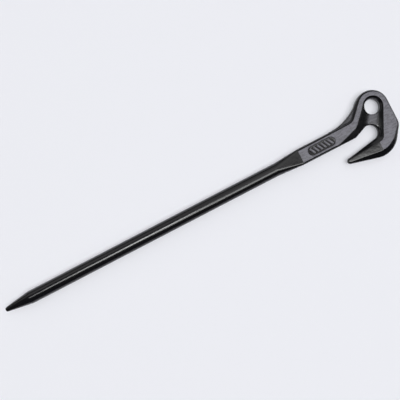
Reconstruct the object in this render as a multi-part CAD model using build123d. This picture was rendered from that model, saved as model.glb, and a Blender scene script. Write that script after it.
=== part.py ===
from build123d import *
import math
import os

# Forged steel tent stake, lying on its side: a round pointed shank, a flat neck, and a flat head
# with an eye, a striking face and a guy-line hook. Millimetres.
# X runs along the shank towards the striking face, Y across it towards the eye, and Z is up.
# The origin is under the middle of the stake's box, on the surface that it lies on.
#
# The real stake is one forging. It is divided here where its section changes, so that each
# stretch is a plain solid, and neighbours meet face to face.
# While it is built, the striking face lies at X = 0, the shank's axis on the X axis, and the
# plane where the dies part at Z = 0: each section is the same above and below that plane.

# Overall
LENGTH = 280.0
SHANK_DIAMETER = 8.5
THICKNESS = 6.4  # of the neck and the head, between their flat faces
EDGE_RADIUS = 1.0  # of the neck's and the head's outer edges

# Point
POINT_LENGTH = 17.0
POINT_NOSE_RADIUS = 1.7

# Neck: distances are back from the striking face
NECK_WIDTH = 10.7
NECK_SETBACK = 66.5  # where the flat neck begins
TAPER_LENGTH = 17.0  # from the round shank to the flat neck

# Round end of the head, with the eye in its middle. It is tangent to the striking face.
HEAD_RADIUS = 10.6
EYE_RADIUS = 5.0
EYE_RISE = 7.7  # the eye's centre above the shank's axis
RIM_WIDTH = 3.85  # of the thick rim round the eye and up from the neck
RIM_ANGLE = 47.0  # the rim's rise from the neck, in degrees from the shank's axis
RIM_BEND_RADIUS = 5.5  # outside the rim's bend from the neck

# Striking face, and the heel below it
FACE_DROP = 9.4  # the face's lower corner below the shank's axis, before it is rounded
HEEL_ANGLE = 58.0  # in degrees from the shank's axis
HEEL_CORNER_RADIUS = 8.0
HOOK_BEND_RADIUS = 15.0  # outside the hook's bend
HOOK_ROOT_DROP = 7.4  # where the hook's section starts below the shank's axis

# Hook: its seat is where the guy line lies, and its nose is the prong's round tip
SEAT_RADIUS = 5.0
SEAT_SETBACK = 19.0
SEAT_DROP = 6.8
NOSE_RADIUS = 1.8
NOSE_SETBACK = 38.7
NOSE_DROP = 17.1
PRONG_TAPER = 24.5  # between the prong's two sides, in degrees
PRONG_TIP_THICKNESS = 3.0
THROAT_FLARE = 22.5  # the throat's upper side, in degrees from the shank's axis

# Thin web between the rim, the eye and the throat
WEB_THICKNESS = 3.4
WEB_WALL_TAPER = 35.0  # of the walls down to the web, in degrees from upright
WEB_TAIL_SETBACK = 44.5  # where the web's recess runs out of the neck's lower side
WEB_CORNER_RISE = 0.9  # the recess's corner in the bend, above the shank's axis
WEB_BACK_ANGLE = 64.0  # the recess's side next to the striking face, in degrees

# Thin gusset in the outer corner between the neck and the round head
GUSSET_SETBACK = 43.0  # where it begins on the neck
GUSSET_THICKNESS = 3.0

# Worked out from the sizes above
SHANK_RADIUS = SHANK_DIAMETER / 2
HALF = THICKNESS / 2
NECK_HALF = NECK_WIDTH / 2
TAPER_START = -NECK_SETBACK - TAPER_LENGTH
EYE = Vector(-HEAD_RADIUS, EYE_RISE)
SEAT = Vector(-SEAT_SETBACK, -SEAT_DROP)
NOSE = Vector(-NOSE_SETBACK, -NOSE_DROP)
POCKET_RADIUS = HEAD_RADIUS - RIM_WIDTH
SPARE = 5.0  # how far a cutting solid runs past what it cuts
TOUCH = 1e-4  # closer than this, a point lies on a line or a face


def direction(degrees):
    """Unit vector at an angle from +X towards +Y."""
    return Vector(math.cos(math.radians(degrees)), math.sin(math.radians(degrees)))


def meet(point_a, along_a, point_b, along_b):
    """Point where two lines in the XY plane cross."""
    gap = point_b - point_a
    reach = gap.cross(along_b).Z / along_a.cross(along_b).Z
    return point_a + along_a * reach


def slab(outline, half_height):
    """Plate with the outline's shape, half_height above and below the parting plane."""
    return extrude(outline, amount=half_height, both=True)


def box_over(x_from, x_to, y_from, y_to):
    """Box over a stretch of the plan, taller than the stake."""
    height = THICKNESS + SHANK_DIAMETER
    block = Box(x_to - x_from, y_to - y_from, height)
    return Pos((x_from + x_to) / 2, (y_from + y_to) / 2, 0) * block


# The hook's straight sides. The inner one touches the nose's circle and the seat's circle on
# opposite sides, and the outer one opens from it by PRONG_TAPER.
SPAN = SEAT - NOSE
SPAN_ANGLE = math.degrees(math.atan2(SPAN.Y, SPAN.X))
INNER_ANGLE = SPAN_ANGLE - math.degrees(math.asin((NOSE_RADIUS + SEAT_RADIUS) / SPAN.length))
OUTER_ANGLE = INNER_ANGLE - PRONG_TAPER
THROAT_MOUTH = meet(
    SEAT + direction(90 + THROAT_FLARE) * SEAT_RADIUS,
    direction(THROAT_FLARE),
    Vector(0, -NECK_HALF),
    Vector(1, 0),
)


def hook_corner():
    """Where the heel's line would meet the prong's outer side, without the bend's radius."""
    heel_start = Vector(0, -FACE_DROP)
    outer_start = NOSE + direction(OUTER_ANGLE - 90) * NOSE_RADIUS
    return meet(heel_start, direction(HEEL_ANGLE), outer_start, direction(OUTER_ANGLE))


def rim_corner():
    """Where the rim's outer side would meet the neck's upper side, without the bend's radius."""
    rim_start = EYE + direction(90 + RIM_ANGLE) * HEAD_RADIUS
    return meet(rim_start, direction(RIM_ANGLE), Vector(0, NECK_HALF), Vector(1, 0))


def head_outline():
    """Plan of the neck and head at their full thickness: neck, rim, round end, face and hook."""
    rim_top = EYE + direction(90 + RIM_ANGLE) * HEAD_RADIUS
    face_top = Vector(0, EYE_RISE)
    nose_outer = NOSE + direction(OUTER_ANGLE - 90) * NOSE_RADIUS
    nose_tip = NOSE - direction((INNER_ANGLE + OUTER_ANGLE) / 2) * NOSE_RADIUS
    nose_inner = NOSE + direction(INNER_ANGLE + 90) * NOSE_RADIUS
    seat_low = SEAT + direction(INNER_ANGLE - 90) * SEAT_RADIUS
    seat_high = SEAT + direction(THROAT_FLARE + 90) * SEAT_RADIUS
    neck_low = Vector(-NECK_SETBACK, -NECK_HALF)
    neck_high = Vector(-NECK_SETBACK, NECK_HALF)
    sides = (
        FilletPolyline(neck_high, rim_corner(), rim_top, radius=RIM_BEND_RADIUS)
        + ThreePointArc(rim_top, EYE + direction(60) * HEAD_RADIUS, face_top)
        + FilletPolyline(
            face_top,
            Vector(0, -FACE_DROP),
            hook_corner(),
            nose_outer,
            radius=[HEEL_CORNER_RADIUS, HOOK_BEND_RADIUS],
        )
        + ThreePointArc(nose_outer, nose_tip, nose_inner)
        + Line(nose_inner, seat_low)
        + ThreePointArc(seat_low, SEAT + Vector(SEAT_RADIUS, 0), seat_high)
        + Polyline(seat_high, THROAT_MOUTH, neck_low, neck_high)
    )
    return make_face(sides)


def web_outline():
    """Plan of the recess on each face, open towards the throat. Its side follows the rim."""
    rim_side = EYE + direction(90 + RIM_ANGLE) * POCKET_RADIUS
    back_side = EYE + direction(WEB_BACK_ANGLE - 90) * POCKET_RADIUS
    corner = meet(rim_side, direction(RIM_ANGLE), Vector(0, WEB_CORNER_RISE), Vector(1, 0))
    foot = meet(back_side, direction(WEB_BACK_ANGLE), Vector(0, -HOOK_ROOT_DROP), Vector(1, 0))
    tail = Vector(-WEB_TAIL_SETBACK, -NECK_HALF)
    below = Vector(0, -SPARE)
    ring = ThreePointArc(rim_side, EYE + direction(60) * POCKET_RADIUS, back_side)
    rest = Polyline(back_side, foot, Vector(SEAT.X, foot.Y), tail + below, tail, corner, rim_side)
    return make_face(ring + rest)


def gusset_outline():
    """Plan of the gusset: a hollow curve tangent to the neck's side and to the round head."""
    start = Vector(-GUSSET_SETBACK, NECK_HALF)
    across = EYE.X - start.X
    up = EYE.Y - start.Y
    radius = (across**2 + up**2 - HEAD_RADIUS**2) / (2 * (HEAD_RADIUS + up))
    centre = start + Vector(0, radius)
    touch = centre + (EYE - centre).normalized() * radius
    middle = centre + ((start + touch) / 2 - centre).normalized() * radius
    curve = ThreePointArc(start, middle, touch)
    rest = Polyline(touch, EYE, Vector(EYE.X, 0), Vector(start.X, 0), start)
    return make_face(curve + rest)


def point():
    """Blunt round point, turned about the shank's axis."""
    tip = -LENGTH
    base = tip + POINT_LENGTH
    nose_centre = tip + POINT_NOSE_RADIUS
    rise = Vector(base - nose_centre, SHANK_RADIUS)
    slope = math.degrees(math.atan2(rise.Y, rise.X) - math.asin(POINT_NOSE_RADIUS / rise.length))
    nose_end = Vector(nose_centre, 0) + direction(slope + 90) * POINT_NOSE_RADIUS
    nose_middle = Vector(nose_centre, 0) + direction(slope / 2 + 135) * POINT_NOSE_RADIUS
    profile = (
        ThreePointArc((tip, 0), nose_middle, nose_end)
        + Polyline(nose_end, (base, SHANK_RADIUS), (base, 0), (tip, 0))
    )
    return revolve(make_face(profile), Axis.X, 360)


def shank():
    """Round bar between the point and the taper."""
    start = -LENGTH + POINT_LENGTH
    circle = Plane(origin=(start, 0, 0), z_dir=(1, 0, 0)) * Circle(SHANK_RADIUS)
    return extrude(circle, amount=TAPER_START - start)


def neck_taper():
    """Round shank flattening into the neck, with a three-sided facet above and below."""
    round_end = Plane(origin=(TAPER_START, 0, 0), x_dir=(0, 1, 0), z_dir=(1, 0, 0))
    flat_end = Plane(origin=(-NECK_SETBACK, 0, 0), x_dir=(0, 1, 0), z_dir=(1, 0, 0))
    flat = RectangleRounded(NECK_WIDTH, THICKNESS, EDGE_RADIUS)
    return loft([round_end * Circle(SHANK_RADIUS), flat_end * flat], ruled=True)


def web_recess():
    """Cutter for the recess of the upper face."""
    depth = (THICKNESS - WEB_THICKNESS) / 2
    mouth = Pos(0, 0, HALF) * web_outline()
    return extrude(mouth, amount=-depth, taper=WEB_WALL_TAPER)


def prong_facet():
    """Cutter that thins the prong from above, from its root to its nose."""
    root = -SEAT_SETBACK + SEAT_RADIUS / 2
    nose = -NOSE_SETBACK - NOSE_RADIUS
    past = nose - SPARE
    slope = (THICKNESS - PRONG_TIP_THICKNESS) / 2 / (root - nose)
    corners = [
        (root, HALF),
        (past, HALF - slope * (root - past)),
        (past, HALF + SPARE),
        (root, HALF + SPARE),
    ]
    profile = make_face(Polyline(*[(x, -HOOK_ROOT_DROP, z) for x, z in corners], close=True))
    return extrude(profile, amount=NOSE_DROP + HOOK_BEND_RADIUS, dir=(0, -1, 0))


def neck_and_head():
    """Neck and head in one solid: edges rounded, recesses sunk, prong thinned and eye bored."""
    forging = slab(head_outline(), HALF)
    rims = forging.edges().filter_by(lambda edge: abs(abs(edge.center().Z) - HALF) < TOUCH)
    joint = rims.filter_by(lambda edge: edge.center().X < TOUCH - NECK_SETBACK)
    forging = fillet(rims - joint, EDGE_RADIUS)
    for cutter in (web_recess(), prong_facet()):
        forging -= cutter
        forging -= mirror(cutter, about=Plane.XY)
    return forging - Pos(EYE.X, EYE.Y, 0) * Cylinder(EYE_RADIUS, THICKNESS + SPARE)


def divided_head():
    """The neck and head divided into sections, by name."""
    forging = neck_and_head()
    web_zone = slab(web_outline(), HALF + SPARE)
    hook_zone = box_over(-LENGTH, LENGTH, -LENGTH, -HOOK_ROOT_DROP)
    neck_zone = box_over(-LENGTH, THROAT_MOUTH.X, -LENGTH, LENGTH)
    face_zone = box_over(EYE.X, LENGTH, -HOOK_ROOT_DROP, EYE.Y)
    rims = forging - web_zone
    round_end = rims - hook_zone - neck_zone - face_zone
    return {
        "neck": rims & neck_zone - hook_zone,
        "eye_rim": round_end,
        "striking_head": rims & face_zone,
        "hook": rims & hook_zone,
        "web": forging & web_zone,
    }


def gusset():
    """Thin plate in the outer corner, against the rim's and the neck's outer sides."""
    return slab(gusset_outline(), GUSSET_THICKNESS / 2) - slab(head_outline(), THICKNESS)


sections = {
    "point": point(),
    "shank": shank(),
    "neck_taper": neck_taper(),
    "gusset": gusset(),
    **divided_head(),
}

# The finished place: the middle of the box over the origin, and the lowest line on Z = 0.
box = Compound(children=[Compound(section.solids()) for section in sections.values()]).bounding_box()
place = Pos(-(box.min.X + box.max.X) / 2, -(box.min.Y + box.max.Y) / 2, -box.min.Z)

os.makedirs("parts", exist_ok=True)
for name, section in sections.items():
    solids = (place * section).solids()
    print(name, len(solids), "solid(s)", round(sum(solid.volume for solid in solids)), "mm3")
    export_step(solids[0] if len(solids) == 1 else Compound(solids), f"parts/{name}.step")
print("moved by", place.position, "box", box.size)
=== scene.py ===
"""Looks of a forged steel tent stake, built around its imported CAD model.

The stake is one forging: round bar stock with a point, whose other end is pressed flat between two
dies into a neck and a head with an eye, a web, a gusset, a striking face and a guy-line hook. It is
coated satin black. Everything is in metres in the CAD model's frame; the sizes of the dies are in
millimetres, measured back from the striking face, as a die maker would draw them.
"""

import logging
import math
from dataclasses import dataclass, field
from enum import Enum
from typing import Callable, Mapping, Sequence, Union

import bmesh
import bpy
import numpy as np
from mathutils import Euler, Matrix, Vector


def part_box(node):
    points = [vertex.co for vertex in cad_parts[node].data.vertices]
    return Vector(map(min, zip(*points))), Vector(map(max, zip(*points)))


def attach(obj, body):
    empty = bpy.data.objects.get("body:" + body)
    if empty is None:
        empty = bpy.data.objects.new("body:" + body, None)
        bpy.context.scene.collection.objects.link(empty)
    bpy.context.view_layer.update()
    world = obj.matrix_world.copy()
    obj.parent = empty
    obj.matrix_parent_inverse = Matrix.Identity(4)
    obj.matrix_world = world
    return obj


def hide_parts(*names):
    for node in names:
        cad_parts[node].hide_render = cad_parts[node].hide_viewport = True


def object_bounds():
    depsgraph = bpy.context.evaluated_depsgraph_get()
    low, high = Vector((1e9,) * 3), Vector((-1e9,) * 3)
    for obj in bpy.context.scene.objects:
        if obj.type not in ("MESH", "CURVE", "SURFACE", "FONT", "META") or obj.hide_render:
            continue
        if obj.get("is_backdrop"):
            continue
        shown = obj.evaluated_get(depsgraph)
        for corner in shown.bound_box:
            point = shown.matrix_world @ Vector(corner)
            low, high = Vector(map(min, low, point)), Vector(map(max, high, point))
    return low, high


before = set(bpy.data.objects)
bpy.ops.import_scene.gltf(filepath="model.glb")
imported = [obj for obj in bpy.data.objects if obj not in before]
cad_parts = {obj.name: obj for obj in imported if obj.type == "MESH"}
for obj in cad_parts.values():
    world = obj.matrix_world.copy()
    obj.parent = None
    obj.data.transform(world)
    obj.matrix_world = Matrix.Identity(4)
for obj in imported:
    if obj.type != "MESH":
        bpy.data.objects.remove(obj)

LOG = logging.getLogger("stake")
MM = 0.001
ROOT = "root"
Array = np.ndarray


# ---------------------------------------------------------------------------------------------
# Node trees


class Wire:
    """An output socket, or a plain number, that can be used in Python arithmetic."""

    def __init__(self, graph: "Graph", socket: Union[bpy.types.NodeSocket, float]) -> None:
        """Wrap a socket of one tree.

        Args:
            graph: The tree that the socket belongs to.
            socket: The output socket, or a number.
        """
        self.graph = graph
        self.socket = socket

    def _math(self, operation: str, *others: Union["Wire", float]) -> "Wire":
        """Add one Math node that starts with this value.

        Args:
            operation: The Math node's operation.
            *others: The further operands.

        Returns:
            The node's result.
        """
        values = dict(enumerate((self, *others)))
        return self.graph.node("ShaderNodeMath", {"operation": operation}, values)

    def __add__(self, other: Union["Wire", float]) -> "Wire":
        """Sum."""
        return self._math("ADD", other)

    def __radd__(self, other: float) -> "Wire":
        """Sum, with the number first."""
        return self._math("ADD", other)

    def __sub__(self, other: Union["Wire", float]) -> "Wire":
        """Difference."""
        return self._math("SUBTRACT", other)

    def __rsub__(self, other: float) -> "Wire":
        """Difference, with the number first."""
        return Wire(self.graph, other)._math("SUBTRACT", self)

    def __mul__(self, other: Union["Wire", float]) -> "Wire":
        """Product."""
        return self._math("MULTIPLY", other)

    def __rmul__(self, other: float) -> "Wire":
        """Product, with the number first."""
        return self._math("MULTIPLY", other)

    def __truediv__(self, other: Union["Wire", float]) -> "Wire":
        """Quotient."""
        return self._math("DIVIDE", other)

    def __rtruediv__(self, other: float) -> "Wire":
        """Quotient, with the number first."""
        return Wire(self.graph, other)._math("DIVIDE", self)

    def least(self, other: Union["Wire", float]) -> "Wire":
        """The smaller of two values."""
        return self._math("MINIMUM", other)

    def most(self, other: Union["Wire", float]) -> "Wire":
        """The larger of two values."""
        return self._math("MAXIMUM", other)

    def under(self, other: Union["Wire", float]) -> "Wire":
        """1 where this value is under another, 0 elsewhere."""
        return self._math("LESS_THAN", other)

    def root(self) -> "Wire":
        """Square root."""
        return self._math("SQRT")

    def ramp(self, low: float, high: float, to_low: float = 0.0, to_high: float = 1.0) -> "Wire":
        """Clamped smooth change from one value to another.

        Args:
            low: Input at which the change starts.
            high: Input at which it ends.
            to_low: Result at low and below.
            to_high: Result at high and above.

        Returns:
            The changed value.
        """
        settings = {"interpolation_type": "SMOOTHSTEP"}
        return self.graph.node("ShaderNodeMapRange", settings, {
            "Value": self, "From Min": low, "From Max": high, "To Min": to_low, "To Max": to_high,
        })


Value = Union[Wire, float, bool, Sequence[float], bpy.types.ID, None]


class Graph:
    """A node tree that is filled from Python."""

    def __init__(self, tree: bpy.types.NodeTree) -> None:
        """Start from a tree.

        Args:
            tree: The tree to fill.
        """
        self.tree = tree

    def node(
        self,
        kind: str,
        settings: Mapping[str, object] | None = None,
        sockets: Mapping[Union[str, int], Value] | None = None,
        output: Union[str, int] = 0,
    ) -> Wire:
        """Add a node.

        Args:
            kind: The node's type.
            settings: Properties of the node, which are set before its sockets.
            sockets: Values or links, by the input's name, identifier or number.
            output: The output to give back, by name or number.

        Returns:
            The chosen output.
        """
        made = self.tree.nodes.new(kind)
        for name, setting in (settings or {}).items():
            setattr(made, name, setting)
        for key, value in (sockets or {}).items():
            self._feed(self._input(made, key), value)
        return Wire(self, made.outputs[output]) if made.outputs else Wire(self, 0.0)

    @staticmethod
    def _input(made: bpy.types.Node, key: Union[str, int]) -> bpy.types.NodeSocket:
        """Find an input by number, identifier or name."""
        if isinstance(key, int):
            return made.inputs[key]
        by_identifier = [s for s in made.inputs if s.identifier == key and s.enabled]
        by_name = [s for s in made.inputs if s.name == key and s.enabled]
        return (by_name or by_identifier)[0]

    def _feed(self, socket: bpy.types.NodeSocket, value: Value) -> None:
        """Link an input, or set its value."""
        if isinstance(value, Wire) and isinstance(value.socket, bpy.types.NodeSocket):
            self.tree.links.new(value.socket, socket)
        elif isinstance(value, Wire):
            socket.default_value = value.socket
        elif value is not None:
            socket.default_value = value


# ---------------------------------------------------------------------------------------------
# Finishes


@dataclass(frozen=True)
class BlackCoat:
    """Satin black coating over forged steel: nearly black, fine grained, duller where pressed, and
    painted much lighter there as painted sheen.

    Attributes:
        name: The material's name.
        deep: Colour on the rounded and sloping faces.
        pressed_sheen: Much lighter colour on the faces that the dies pressed flat, partly their
            duller coat, partly painted sheen that stands in for the lights' reflection.
        gloss: Roughness on the rounded and sloping faces.
        pressed_gloss: Roughness on the pressed faces.
        grain_mm: Size of the coating's grain.
        scale_mm: Size of the patches left by forging scale under the coating.
        relief_mm: Height of the grain.
        scale_relief_mm: Height of the scale's patches.
        drawn: How much the grain is stretched along the bar.
        streak: How much longer than wide the pressed faces' streaks are.
        streak_turn: The streaks' direction, in degrees from the shank's.
        wear: How far the coat is worn through on the sharpest edges, from 0 to 1.
        wear_lift: How much paler than a pressed face a worn edge is.
    """

    name: str
    deep: tuple[float, float, float] = (0.0030, 0.0030, 0.0038)
    pressed_sheen: tuple[float, float, float] = (0.165, 0.163, 0.190)
    gloss: float = 0.17
    pressed_gloss: float = 0.50
    grain_mm: float = 0.45
    scale_mm: float = 3.2
    relief_mm: float = 0.008
    scale_relief_mm: float = 0.022
    drawn: float = 1.0
    streak: float = 3.0
    streak_turn: float = 50.0
    wear: float = 0.25
    wear_lift: float = 1.4

    def material(self) -> bpy.types.Material:
        """Build the coating's material.

        Returns:
            The new material.
        """
        made = bpy.data.materials.new(self.name)
        made.use_nodes = True
        made.node_tree.nodes.clear()
        graph = Graph(made.node_tree)
        place = graph.node("ShaderNodeTexCoord", output="Object")
        along = graph.node("ShaderNodeMapping", {"vector_type": "POINT"}, {
            "Vector": place, "Scale": (1.0 / self.drawn, 1.0, 1.0),
        })
        grain = self._noise(graph, along, self.grain_mm, 4.0, 0.62)
        patches = self._noise(graph, along, self.scale_mm, 3.0, 0.55)
        clouds = self._noise(graph, place, self.scale_mm * 6.0, 2.0, 0.5)
        pits = graph.node("ShaderNodeTexVoronoi", {"feature": "F1"}, {
            "Vector": along, "Scale": 1.0 / (self.grain_mm * 2.6 * MM), "Randomness": 1.0,
        }).ramp(0.10, 0.34)
        pressed_sheen = graph.node("ShaderNodeAttribute", {"attribute_name": "pressed_sheen"}, output="Fac")
        edge = graph.node("ShaderNodeAttribute", {"attribute_name": "edge"}, output="Fac")
        worn = (edge * patches.ramp(0.36, 0.66)).ramp(0.15, 0.9)
        across = graph.node("ShaderNodeMapping", {"vector_type": "POINT"}, {
            "Vector": place, "Rotation": (0.0, 0.0, math.radians(self.streak_turn)),
            "Scale": (1.0 / self.streak, 1.0, 1.0),
        })
        streaks = self._noise(graph, across, self.grain_mm * 2.4, 3.0, 0.6)
        speckle = grain.ramp(0.38, 0.64) * 0.40 + streaks.ramp(0.38, 0.62) * 0.44
        # Painted sheen: on the faces pressed flat the colour rises from near black to a much
        # lighter grey, partly their duller coat, partly the lights' reflection painted in.
        tone = pressed_sheen * (speckle + clouds.ramp(0.3, 0.7) * 0.14 + 0.42) + patches * 0.012
        colour = self._mix(graph, tone.least(1.2), self.deep, self.pressed_sheen)
        bare = tuple(self.wear_lift * c for c in self.pressed_sheen)
        colour = self._mix(graph, worn * self.wear, colour, bare)
        dull = pressed_sheen.ramp(0.0, 1.0, self.gloss, self.pressed_gloss)
        roughness = dull + (grain - 0.5) * 0.16 + (patches - 0.5) * 0.14 + worn * 0.08
        relief = (
            grain * (self.relief_mm * MM) * (pressed_sheen + 0.5)
            + pits * (0.5 * self.relief_mm * MM)
            + patches * (self.scale_relief_mm * MM)
        )
        bump = graph.node("ShaderNodeBump", None, {
            "Strength": 1.0, "Distance": 1.0, "Height": relief,
        })
        shader = graph.node("ShaderNodeBsdfPrincipled", None, {
            "Base Color": colour,
            "Roughness": roughness.most(0.12).least(0.8),
            "Metallic": 0.0,
            "IOR": 1.5,
            "Normal": bump,
        })
        graph.node("ShaderNodeOutputMaterial", None, {"Surface": shader})
        return made

    @staticmethod
    def _noise(graph: Graph, place: Wire, size_mm: float, detail: float, rough: float) -> Wire:
        """Add a fractal noise.

        Args:
            graph: The tree.
            place: Where the noise is read.
            size_mm: The size of its largest lumps.
            detail: How many finer layers it has.
            rough: How strong the finer layers are.

        Returns:
            The noise, from 0 to 1.
        """
        return graph.node("ShaderNodeTexNoise", {"noise_dimensions": "3D"}, {
            "Vector": place, "Scale": 1.0 / (size_mm * MM), "Detail": detail, "Roughness": rough,
        }, "Fac")

    @staticmethod
    def _mix(graph: Graph, share: Wire, first: Value, second: Value) -> Wire:
        """Mix two colours by a share."""
        four = [(*c, 1.0) if isinstance(c, tuple) else c for c in (first, second)]
        return graph.node("ShaderNodeMix", {"data_type": "RGBA"}, {
            "Factor_Float": share, "A_Color": four[0], "B_Color": four[1],
        }, 2)


@dataclass(frozen=True)
class PaleBoard:
    """Matt pale board that the stake lies on, lit a little from within.

    Attributes:
        colour: The board's colour.
        glow: How bright it is without any other light.
    """

    colour: tuple[float, float, float] = (0.60, 0.606, 0.640)
    glow: tuple[float, float, float] = (0.24, 0.242, 0.256)

    def material(self) -> bpy.types.Material:
        """Build the board's material."""
        made = bpy.data.materials.new("pale_board")
        made.use_nodes = True
        made.node_tree.nodes.clear()
        graph = Graph(made.node_tree)
        shader = graph.node("ShaderNodeBsdfPrincipled", None, {
            "Base Color": (*self.colour, 1.0), "Roughness": 0.9,
            "Emission Color": (*self.glow, 1.0), "Emission Strength": 1.0,
        })
        graph.node("ShaderNodeOutputMaterial", None, {"Surface": shader})
        return made


# ---------------------------------------------------------------------------------------------
# Plan outlines, in millimetres


def turned(degrees: float) -> Array:
    """Unit vector at an angle from +X towards +Y."""
    return np.array([math.cos(math.radians(degrees)), math.sin(math.radians(degrees))])


def crossing(point_a: Array, along_a: Array, point_b: Array, along_b: Array) -> Array:
    """Point where two lines in the plan cross."""
    gap = point_b - point_a
    reach = (gap[0] * along_b[1] - gap[1] * along_b[0]) / (
        along_a[0] * along_b[1] - along_a[1] * along_b[0]
    )
    return point_a + along_a * reach


@dataclass(frozen=True)
class Segment:
    """Straight side of an outline, from start to end."""

    start: Array
    end: Array

    @property
    def length(self) -> float:
        """The side's length."""
        return float(np.linalg.norm(self.end - self.start))

    def locate(self, places: Array) -> tuple[Array, Array]:
        """Distance of each place to the side, and how far along the side that is."""
        along = self.end - self.start
        share = np.clip((places - self.start) @ along / (along @ along), 0.0, 1.0)
        gap = places - self.start - share[:, None] * along
        return np.hypot(gap[:, 0], gap[:, 1]), share * self.length

    def points(self) -> Array:
        """The side's points, without its end."""
        return self.start[None]


@dataclass(frozen=True)
class Arc:
    """Round side of an outline: from one angle to another about a centre, in degrees."""

    centre: Array
    radius: float
    first: float
    last: float

    @property
    def start(self) -> Array:
        """Where the arc starts."""
        return self.centre + turned(self.first) * self.radius

    @property
    def end(self) -> Array:
        """Where the arc ends."""
        return self.centre + turned(self.last) * self.radius

    @property
    def length(self) -> float:
        """The side's length."""
        return math.radians(abs(self.last - self.first)) * self.radius

    def locate(self, places: Array) -> tuple[Array, Array]:
        """Distance of each place to the side, and how far along the side that is."""
        offset = places - self.centre
        sweep = self.last - self.first
        angle = np.degrees(np.arctan2(offset[:, 1], offset[:, 0]))
        turn = np.mod((angle - self.first) * math.copysign(1.0, sweep), 360.0)
        on_arc = np.abs(np.hypot(offset[:, 0], offset[:, 1]) - self.radius)
        to_start, to_end = (
            np.hypot(*(places - point).T) for point in (self.start, self.end)
        )
        faces_arc = turn <= abs(sweep)
        off_arc = np.minimum(to_start, to_end)
        off_along = np.where(to_start < to_end, 0.0, self.length)
        along = np.radians(turn) * self.radius
        return np.where(faces_arc, on_arc, off_arc), np.where(faces_arc, along, off_along)

    def points(self) -> Array:
        """Points along the side, without its end, about one for each two degrees."""
        count = max(4, int(abs(self.last - self.first) / 2))
        angles = np.linspace(self.first, self.last, count, endpoint=False)
        return np.array([self.centre + turned(a) * self.radius for a in angles])


def rounded(before: Array, corner: Array, after: Array, radius: float) -> Arc:
    """Arc that rounds a corner.

    Args:
        before: A point on the side that comes in.
        corner: The corner.
        after: A point on the side that goes out.
        radius: The arc's radius.

    Returns:
        The arc, tangent to both sides.
    """
    incoming = (corner - before) / np.linalg.norm(corner - before)
    outgoing = (after - corner) / np.linalg.norm(after - corner)
    cross = incoming[0] * outgoing[1] - incoming[1] * outgoing[0]
    turn = math.atan2(cross, incoming @ outgoing)
    start = corner - incoming * radius * math.tan(abs(turn) / 2)
    side = math.copysign(1.0, cross)
    centre = start + np.array([-incoming[1], incoming[0]]) * radius * side
    first = math.degrees(math.atan2(*(start - centre)[::-1]))
    return Arc(centre, radius, first, first + math.degrees(turn))


@dataclass(frozen=True)
class Station:
    """How wide and how deep the dies slope a face off at one place.

    Attributes:
        setback: Distance back from the striking face.
        rise: Distance above the shank's axis.
        width: Width of the sloping band in plan.
        drop: Height of the band.
        fullness: 1 for an even slope; more for one that is steeper at the outline's side.
    """

    setback: float
    rise: float
    width: float
    drop: float
    fullness: float = 1.0


@dataclass(frozen=True)
class Band:
    """Sloping band along an outline, for a set of places.

    Attributes:
        inside: Distance of each place to the outline, positive inside.
        width: The band's width there.
        drop: The band's height there.
        fullness: The band's fullness there.
    """

    inside: Array
    width: Array
    drop: Array
    fullness: Array


@dataclass(frozen=True)
class Outline:
    """Closed outline of straight and round sides, with the stations of the band along it."""

    sides: tuple[Union[Segment, Arc], ...]
    stations: tuple[Station, ...] = ()

    def locate(self, places: Array) -> tuple[Array, Array]:
        """Distance of each place to the outline, and how far along the outline that is."""
        nearest = np.full(len(places), np.inf)
        along = np.zeros(len(places))
        travelled = 0.0
        for side in self.sides:
            distance, reach = side.locate(places)
            closer = distance < nearest
            nearest[closer] = distance[closer]
            along[closer] = travelled + reach[closer]
            travelled += side.length
        return nearest, along

    def holds(self, places: Array) -> Array:
        """Whether each place is inside the outline."""
        ring = np.vstack([side.points() for side in self.sides])
        odd = np.zeros(len(places), bool)
        for (ax, ay), (bx, by) in zip(ring, np.roll(ring, -1, axis=0)):
            if ay == by:
                continue
            spans = (places[:, 1] < ay) != (places[:, 1] < by)
            across = ax + (places[:, 1] - ay) * (bx - ax) / (by - ay)
            odd ^= spans & (places[:, 0] < across)
        return odd

    def band(self, x: Array, y: Array) -> Band:
        """The band at each place, with its sizes taken between the stations either side.

        Args:
            x: Places along the shank.
            y: Places across it.

        Returns:
            The band, of the places' shape.
        """
        places = np.stack([x.ravel(), y.ravel()], axis=1)
        distance, along = self.locate(places)
        inside = np.where(self.holds(places), distance, -distance)
        if not self.stations:
            nothing = np.zeros(x.shape)
            return Band(inside.reshape(x.shape), nothing, nothing, nothing)
        marks = np.array([(-station.setback, station.rise) for station in self.stations])
        _, stops = self.locate(marks)
        whole = sum(side.length for side in self.sides)
        sizes = [
            np.interp(along, stops, [getattr(station, name) for station in self.stations],
                      period=whole).reshape(x.shape)
            for name in ("width", "drop", "fullness")
        ]
        return Band(inside.reshape(x.shape), *sizes)


# ---------------------------------------------------------------------------------------------
# The dies' sizes


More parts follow.
